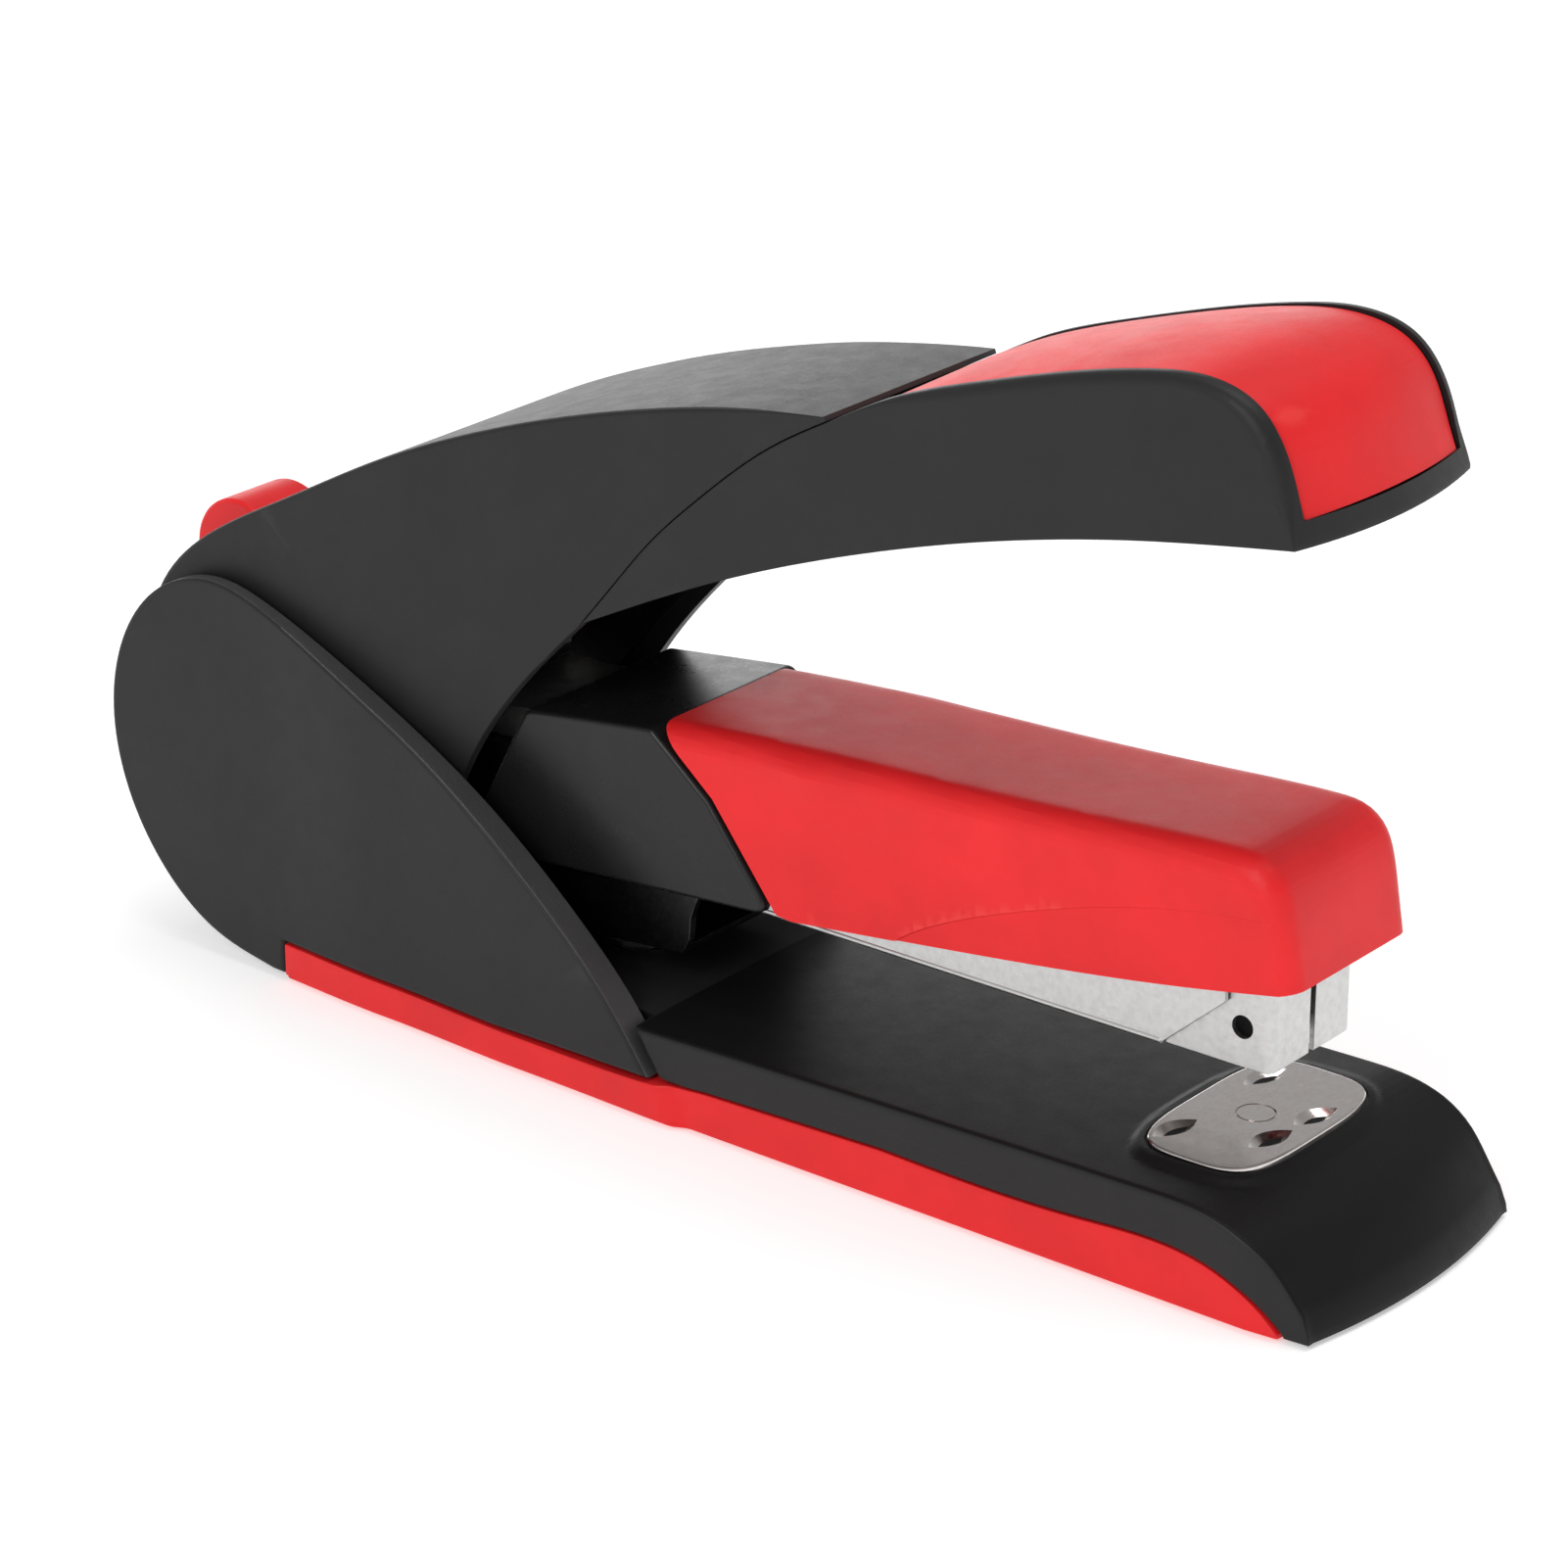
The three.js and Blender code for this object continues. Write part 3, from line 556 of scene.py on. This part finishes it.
def hollow_sole():
    """The red tray under the deck, open on top and hollowed below for the mat."""
    outline = rounded(STRIP_TOP + [(80, 0.3), (-58.4, 0.3)], 0.3)
    sole = prism(outline, -BASE_HALF, BASE_HALF, 0.25, 0.25, rings=2)
    sole = combine(
        sole,
        prism(rounded(rectangle(-56.2, 72, -17.2, 17.2), 3), 2.6, 20, axis="z"),
        prism(rounded(rectangle(-52.3, 76.3, -15.8, 15.8), 4), -1, 1.4, axis="z"),
        prism(circle(PLATE_X, 0, 5.4), -1, 10, axis="z"),
        *[prism(circle(x, y, 2.9), -1, 3.3, axis="z") for x in (12, 46) for y in (8, -8)],
    )

    def move(x, y, z):
        x, y, z = base_side(x, y, z)
        foot = 0.35 * (1 - ramp(z, 0.85, 0.95)) if abs(y) > 18 else 0
        return x + bowed(x, y, 1.6, 72, 80, 19), y - math.copysign(foot, y), z

    ys = places(-20, 20, 4)
    return reshape(sole, move, places(-56, 80, 4) + places(-3, 5, 0.5), ys, [0.85, 0.95])


def barrel(grow):
    """The anvil plate's outline: four bowed sides and tight corners."""
    outline = []
    for i in range(96):
        turn = 2 * math.pi * i / 96
        across, ahead = math.sin(turn), math.cos(turn)
        x = math.copysign(abs(ahead) ** (2 / PLATE_POWER), ahead) * (PLATE_LENGTH + grow)
        y = math.copysign(abs(across) ** (2 / PLATE_POWER), across) * (PLATE_WIDTH + grow)
        outline.append((PLATE_X + x, y))
    return outline


def from_plate(x, y):
    """About how far a point is outside the anvil plate's outline."""
    ahead, across = abs((x - PLATE_X) / PLATE_LENGTH), abs(y / PLATE_WIDTH)
    reach = (ahead**PLATE_POWER + across**PLATE_POWER) ** (1 / PLATE_POWER)
    return (reach - 1) * math.hypot(x - PLATE_X, y) / max(reach, 0.01)


def deck():
    """The black deck: a crowned, hollow shell with a bowed nose and a rim round the plate."""
    under = offset([p for p in STRIP_TOP if p[0] > 3], 0.3)[::-1]
    nose_foot, rear_foot = [(83.3, 1.6), (83.4, 0.6), (80.6, 0.6)], [(0.4, 5.45), (-0.5, 5.55)]
    outline = DECK_EDGE + nose_foot + under + rear_foot

    def rim(x, z):
        return 0.12 + 0.5 * ramp(z - along([(-4, 9), (72, 9), (83, 1.2)], x), 0, 1)

    shell = prism(outline, -BASE_HALF, BASE_HALF, rim, rim)
    shell = combine(
        shell,
        prism(rounded(rectangle(-2.4, 77, -17.5, 17.5), 3), -5, 9.2, axis="z"),
        prism(barrel(0.2), 12.1, 20, axis="z"),
        prism(circle(PLATE_X, 0, 2.9), 0, 20, axis="z"),
    )

    def move(x, y, z):
        bow = bowed(x, y, 2.1, 70, 83, 19)
        crown = 0.4 * (1 - (y / BASE_HALF) ** 2) * ramp(z, 9.5, 11) * (1 - ramp(x, 66, 76))
        bezel = 0.5 * (1 - ramp(from_plate(x, y), 0.9, 2.1)) * ramp(z, 10, 12)
        width = along(BASE_WIDTH, max(x, 6))
        return x + bow, y * width / BASE_HALF, z + crown + bezel

    return reshape(shell, move, places(-4, 50, 6) + places(51, 77, 0.5), places(-19, 19, 0.6))


def cheek(sign):
    """The left cheek for a sign of 1 and the right one for -1, with the rounder rim outside."""
    outline = CHEEK + [(-25, 4.8), (-58.7, 5.1), (-58.7, 1)]
    low, high = sorted((CHEEK_INNER * sign, BASE_HALF * sign))
    radii = (0.15, 0.5) if sign > 0 else (0.5, 0.15)
    slab = prism(outline, low, high, *radii, rings=5)

    def move(x, y, z):
        share = (abs(y) - CHEEK_INNER) / (BASE_HALF - CHEEK_INNER)
        outward = CHEEK_INNER + share * (along(BASE_WIDTH, x) - CHEEK_INNER)
        return x, math.copysign(outward, y), z

    return reshape(slab, move, places(-84, -4, 4), zs=places(3, 45, 4))


def rear_cover():
    """The curved wall between the cheeks, which follows their lower rear edge."""
    low = [(-59.4, 0.8)] + [p for p in CHEEK if p[1] < 14 and p[0] < -59.4]
    band = offset(low, -0.3) + offset(low, -1.9)[::-1]
    return prism(band, -16.1, 16.1, 0.2, 0.2, rings=2)


def base_floor():
    """The lowered floor of the deck between the cheeks, with a ramp up to the deck."""
    outline = [(-36, 8.9), (-0.6, 8.9), (-0.2, 9.3), (-4.2, 10.4), (-36, 10.3)]
    tongue = prism(outline, -15.8, 15.8, 0.2, 0.2, rings=2)
    return combine(tongue, prism(circle(-20, 0, 5), 0, 20, axis="z"))


finish_piece(hollow_sole(), "sole_shell", "base", red_strip, ["base_sole"])
# The deck's tops take the darker copy: painted shade.
finish_piece(
    deck(), "deck_shell", "base", black_satin, ["base_deck"], tops=black_deck_painted_shade
)
# The lowered floor under the handle is painted shade too: the darker copy.
finish_piece(base_floor(), "deck_floor", "base", black_deck_painted_shade)
# Each cheek's front band takes the lighter copy: painted light.
for side, sign in (("left", 1), ("right", -1)):
    finish_piece(
        cheek(sign),
        f"cheek_shell_{side}",
        "base",
        black_satin,
        [f"cheek_{side}"],
        tops=black_band_painted_light,
    )
finish_piece(
    rear_cover(), "rear_cover_shell", "base", black_grain, ["base_rear_cover"]
)

# ------------------------------------------------------------------ anvil


def leaf_cutter(x, y, top):
    """A boat-shaped solid that cuts one crimping dent: pointed in plan and V-shaped across."""
    bm = bmesh.new()
    rows = []
    depth, half_width, half_length, spare, turn = 0.72, 1.45, 3.15, 0.3, math.radians(12)
    for i in range(25):
        t = -1.12 + 2.24 * i / 24
        deep = depth * (1 - t * t)
        half = half_width * (deep + spare) / depth
        row = []
        for a, level in ((-half, top + spare), (0.2, top - deep), (half, top + spare)):
            b = half_length * t
            px = x + a * math.cos(turn) + b * math.sin(turn)
            py = y - a * math.sin(turn) + b * math.cos(turn)
            row.append(bm.verts.new((px * MM, py * MM, level * MM)))
        rows.append(row)
    for before, after in zip(rows, rows[1:]):
        for k in range(3):
            m = (k + 1) % 3
            bm.faces.new((before[k], before[m], after[m], after[k]))
    bm.faces.new(rows[0])
    bm.faces.new(rows[-1])
    bmesh.ops.recalc_face_normals(bm, faces=bm.faces)
    return to_object(bm)


def anvil_plate():
    """The bright plate with four dents and the ring of the stem's rivet."""
    plate = prism(barrel(0), 12.5, PLATE_TOP, 0.1, 0.3, axis="z", rings=3)
    rivet = combine(
        prism(circle(63.8, 0, 2.2), 13.22, 14, axis="z"),
        prism(circle(63.8, 0, 1.98), 13, 16, axis="z"),
    )
    dents = [(59.1, -8.2), (68.2, -4.1), (68.9, 3.2), (59.5, 7.9)]
    return combine(plate, rivet, *[leaf_cutter(x, y, PLATE_TOP) for x, y in dents])


finish_piece(
    anvil_plate(), "anvil_face", "anvil", nickel, ["anvil_plate"], sharp=20
)

# ------------------------------------------------------------------ handle


def rear_shell():
    """The handle's long back: a hollow shell with a slot for the button."""
    outline = SHELL_TOP + offset(SEAM, 0.12)[::-1][1:-1] + SHELL_BOTTOM

    def rim(x, z):
        on_top = x < -78 or z > along([(-78, 40), (-60, 55), (-20, 72), (0, 78), (18, 83)], x)
        return 0.6 - 0.45 * ramp(x, 4, 17) if on_top else 0.15

    shell = prism(outline, -HANDLE_HALF, HANDLE_HALF, rim, rim)
    roof = offset(SHELL_TOP, -1.6)
    hollow = [(-81.4, -20)] + roof[3:] + [(60, 84), (60, -20)]
    slot = rounded([(-85, 37.5), (-72, 46), (-66.5, 55.5), (-72, 60), (-90, 45)], 0.5)
    shell = combine(
        shell,
        prism(hollow, -14.6, 14.6),
        prism(slot, -5.4, 5.4),
        prism(circle(-52, 24, 2.5), -14.7, 14.7),
    )
    return reshape(shell, handle_waist, places(-80, 16, 4), places(-12, 12, 3), places(14, 80, 6))


def grip_shell():
    """The palm grip: hollow below, with a seat for the insert on its top and front."""
    outline = SEAM + GRIP_TOP[1:] + GRIP_BOTTOM[:-1]

    def rim(x, z):
        if z <= along([(20, 80), (60, 90), (70, 86), (76, 83)], x):
            return 0.15
        return 0.15 + 1.2 * ramp(x, 19, 36) * (ramp(z, 82.8, 88) if x > 60 else 1)

    shell = prism(outline, -HANDLE_HALF, HANDLE_HALF, rim, rim, rings=5)
    seat = [(18, 86)] + offset(INSERT, 3) + offset(INSERT, -1.75)[::-1] + [(18.6, 81.5)]
    floor = offset(INSERT, -3.3)
    rear, front = [(-40, 20), (-40, 66), (8, 78), (17.6, 81.6)], [(73.4, 83.8), (73.4, 40)]
    hollow = rear + floor[6:-6] + front
    shell = combine(shell, prism(seat, -14.1, 14.1), prism(hollow, -14.4, 14.4))
    return reshape(shell, handle_waist, places(-12, 72, 4), places(-14, 14, 2), places(56, 92, 5))


def grip_insert():
    """The red insert, crowned across its top."""
    half = 13.85
    band = INSERT + offset(INSERT, -1.6)[::-1]
    insert = prism(band, -half, half, 0.35, 0.35, rings=3)

    def move(x, y, z):
        crown = 1.1 * (1 - (y / half) ** 2) * ramp(x, 20, 34) * (1 - 0.75 * ramp(x, 48, 70))
        x, y, z = handle_waist(x, y, z)
        return x, y, z + crown

    return reshape(insert, move, places(22, 75, 2), places(-13, 13, 1.3))


def button():
    """The release button: a round cap with a dimple for the thumb."""
    centre, radius = (-77.3, 44.6), 6.6
    turns = [math.radians(-36 + 252 * i / 60) for i in range(61)]
    outline = [(centre[0] + radius * math.cos(t), centre[1] + radius * math.sin(t)) for t in turns]
    cap = prism(rounded(outline, 1.2), -5, 5, 0.6, 0.6)
    groove = prism(circle(-80.2, 52.6, 1.6, 24), -1.6, 1.6, 0.5, 0.5)
    return combine(cap, groove)


finish_piece(
    rear_shell(),
    "handle_rear",
    "handle",
    black_satin,
    ["handle_rear_shell"],
    tops=black_grain,
)
finish_piece(
    grip_shell(), "handle_grip", "handle", black_satin, ["handle_grip_shell"]
)
finish_piece(
    grip_insert(), "handle_insert_face", "handle", red_satin, ["handle_insert"]
)
finish_piece(button(), "release_cap", "button", red_satin, ["release_button"])

# ------------------------------------------------------------------ arm


def head_cover():
    """The red cover: hollow below, narrower to the front, with a sunk field on each side."""
    outline = HEAD_TOP + [(76.5, 18), (-22, 14), (-22, 41.6)]
    block = prism(outline, -HEAD_HALF, HEAD_HALF, 3.0, 3.0, rings=7)
    rear_edge = [(9.3, 24.9), (0.5, 36.2)]
    keep = [(-7.2, 42.6), (-7.2, 60), (90, 60), (90, 33.7)] + HEAD_BOTTOM + rear_edge
    block = combine(block, prism(rounded(keep, 0.8), -14, 14), how="INTERSECT")
    roof = offset(HEAD_TOP, -1.5)[1:-1]
    hollow = [(-30, 0), (-30, 39.9)] + roof + [(73.2, 0)]
    field, depth = EMBOSS + [(80, 10), (19, 10)], HEAD_HALF - 0.28
    block = combine(
        block,
        prism(hollow, -10.8, 10.8, 2, 2),
        prism(field, depth, 15, 0.2, 0),
        prism(field, -15, -depth, 0, 0.2),
    )

    def move(x, y, z):
        taper = 1 - 0.07 * ramp(x, -10, 74)
        side = abs(y) / HEAD_HALF
        swell = 0.5 * math.exp(-(((x - 13) / 4) ** 2) - ((z - 42) / 2) ** 2)
        swell *= ramp(side, 0.6, 0.95)
        return x, y * taper + math.copysign(swell, y), z

    return reshape(block, move, places(-6, 74, 1.6), places(-12, 12, 4), places(25, 46, 1))


def housing():
    """The black cover behind the red one."""
    outline = rounded([(-36, 21.2), (8.9, 24.6), (0.1, 35.9), (-7.9, 42.3), (-26, 40.1)], 1.5)
    box = prism(outline, -12.5, 12.5, 0.6, 0.6)
    hollow = [(-50, 0), (-50, 37), (-26, 38.7), (-7, 40.8), (20, 43), (20, 0)]
    return combine(box, prism(hollow, -11.2, 11.2))


def channel():
    """The sheet channel that holds the drawer, with a hem along each lower edge."""
    outline = [(-42, 22.5), (57.1, 22.5), (64.9, 29.4), (64.9, 30.6), (-42, 30.6)]
    slab = prism(outline, -8.3, 8.3, 0.1, 0.1, rings=2)
    slab = combine(slab, prism(rectangle(-60, 80, 23.3, 40), -7.7, 7.7))
    hems = [
        prism(circle(y, 22.8, 0.42, 20), -42, 57.2, 0.1, 0.1, axis="x", rings=2)
        for y in (8.02, -8.02)
    ]
    return combine(slab, *hems, how="UNION")


def front_rounded(x0, x1, half, radius):
    """A rectangle seen from above whose two front corners are rounded."""
    turned = rounded(rectangle(x0, x1, -half, half), radius, steps=6)
    return [(x0, half), (x0, -half)] + [p for p in turned if p[0] > x0 + radius]


def nose():
    """The drawer: a long rail whose front is wrapped round into two jaws with a slot between."""
    rail = prism(rectangle(-7.3, 7.3, 23.6, 29.9), -40, 59.4, axis="x")
    rail = combine(rail, prism(rectangle(-6.6, 6.6, 24.4, 40), -60, 80, axis="x"))
    wrap = prism(front_rounded(57.3, 70.2, 7.45, 1.2), 22.3, 33, 0.12, 0.12, axis="z", rings=2)
    slot = rounded(rectangle(68, 72, -0.5, 0.5), 0.1)
    wrap = combine(
        wrap,
        prism(front_rounded(50, 69.6, 6.75, 0.6), 23.1, 40, axis="z"),
        prism(rectangle(67.2, 69.6, 20, 40), -6.7, 6.7),
        prism(slot, 10, 40, axis="z"),
        prism(circle(66.6, 26.8, 1.3, 32), -10, 10),
    )
    return combine(rail, wrap, how="UNION")


def hole_shade_discs():
    """Dark plates just behind the holes in the drawer's two side walls: painted shade for the dark
    inside of the drawer seen through the holes.
    """
    disc = circle(66.4, 26.8, 1.8, 32)
    return combine(prism(disc, 6.5, 6.72), prism(disc, -6.72, -6.5), how="UNION")


finish_piece(
    head_cover(),
    "head_shell",
    "arm",
    red_satin,
    ["head_cover"],
    edge=0.18,
    sharp=40,
)
finish_piece(housing(), "arm_shell", "arm", black_gloss, ["arm_housing"])
finish_piece(channel(), "channel_sheet", "arm", bright, ["magazine_channel"])
finish_piece(nose(), "drawer_jaws", "drawer", bright, ["drawer_rail"])
# Dark discs behind the drawer's holes: painted shade.
finish_piece(hole_shade_discs(), "drawer_hole_shade_discs", "drawer", hole_shade_looks)

# ------------------------------------------------------------------ CAD solids that stay

# Each node's material, and the width of the bevel on its edges in millimetres.
CARRIED = {
    "base_mat": (mat_rubber, 0.3),
    "base_frame": (zinc, 0.15),
    **{f"base_screw_{number}": (oiled, 0.15) for number in range(1, 5)},
    "handle_pivot_pin": (zinc, 0.2),
    "arm_pivot_pin": (zinc, 0.2),
    "arm_lift_spring": (zinc, 0),
    "anvil_stem": (oiled, 0.15),
    "anvil_spring": (zinc, 0),
    "handle_frame": (oiled, 0.2),
    "roller_pin": (zinc, 0.2),
    "press_roller": (oiled, 0.3),
    "handle_return_spring": (zinc, 0),
    "button_spring": (zinc, 0),
    "arm_frame": (oiled, 0.2),
    "drawer_catch": (oiled, 0.15),
    "driver_lever": (zinc, 0.2),
    "driver_blade": (zinc, 0.05),
    "drawer_plug": (grey_moulded, 0.3),
    "guide_rod": (zinc, 0.1),
    "staple_strip": (bright, 0.05),
    "staple_pusher": (grey_moulded, 0.3),
    "pusher_spring": (zinc, 0),
}

for name, (looks, edge) in CARRIED.items():
    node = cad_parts[name]
    node.material_slots[0].material = looks
    if edge:
        weld = node.modifiers.new("weld", "WELD")
        weld.merge_threshold = 2e-6
        flat = node.modifiers.new("flat", "DECIMATE")
        flat.decimate_type = "DISSOLVE"
        flat.angle_limit = math.radians(1)
        bevel = node.modifiers.new("edge", "BEVEL")
        bevel.width = edge * MM
        bevel.segments = 2
        bevel.angle_limit = math.radians(38)

# ------------------------------------------------------------------ floor, light and camera

WHITE = (1, 1, 1, 1)

floor_looks = Looks(
    "studio_floor",
    Roughness=1.0,
    Base_Color=(0.8, 0.8, 0.8, 1),
    Specular_IOR_Level=0,
    Emission_Color=WHITE,
    Emission_Strength=0.42,
)
bm = bmesh.new()
bmesh.ops.create_grid(bm, x_segments=1, y_segments=1, size=6)
floor = to_object(bm, "studio_floor")
floor.data.materials.append(floor_looks.material)

world = bpy.data.worlds.new("studio")
world.use_nodes = True
nodes, links = world.node_tree.nodes, world.node_tree.links
direction = nodes.new("ShaderNodeTexCoord")
split = nodes.new("ShaderNodeSeparateXYZ")
brightness = nodes.new("ShaderNodeMapRange")
brightness.interpolation_type = "SMOOTHSTEP"
# Brightest at the horizon and below, dimmer overhead.
for socket, value in (("From Min", -0.1), ("From Max", 0.55), ("To Min", 1.1), ("To Max", 0.35)):
    brightness.inputs[socket].default_value = value
nodes["Background"].inputs["Color"].default_value = WHITE
links.new(direction.outputs["Generated"], split.inputs[0])
links.new(split.outputs["Z"], brightness.inputs["Value"])
links.new(brightness.outputs["Result"], nodes["Background"].inputs["Strength"])
bpy.context.scene.world = world


def soft_light(name, place, target, size, power):
    """A rectangular light at place, in metres, that faces target."""
    light = bpy.data.lights.new(name, "AREA")
    light.shape = "RECTANGLE"
    light.size, light.size_y = size
    light.energy = power
    obj = bpy.data.objects.new(name, light)
    obj.location = place
    obj.rotation_mode = "QUATERNION"
    obj.rotation_quaternion = (Vector(target) - Vector(place)).to_track_quat("-Z", "Y")
    bpy.context.scene.collection.objects.link(obj)


middle = (0, 0, 0.04)
soft_light("key", (0.1, 0.15, 1.05), middle, (0.8, 0.8), 5.0)
soft_light("back", (-0.9, 0.9, 0.2), middle, (0.9, 0.3), 1.9)
soft_light("side", (0.1, -0.8, 0.6), middle, (0.5, 0.4), 3.4)

azimuth, elevation = math.radians(38.8), math.radians(22.5)
to_camera = Vector(
    (
        math.sin(azimuth) * math.cos(elevation),
        -math.cos(azimuth) * math.cos(elevation),
        math.sin(elevation),
    )
)
camera_data = bpy.data.cameras.new("camera")
camera_data.lens = 118.37
camera_data.sensor_width = 36
camera_data.clip_start, camera_data.clip_end = 0.01, 50
camera = bpy.data.objects.new("camera", camera_data)
camera.rotation_mode = "QUATERNION"
camera.location = (0.328095, -0.407179, 0.250489)
camera.rotation_quaternion = (-to_camera).to_track_quat("-Z", "Y")
bpy.context.scene.collection.objects.link(camera)
bpy.context.scene.camera = camera
bpy.context.scene.view_settings.view_transform = "Standard"
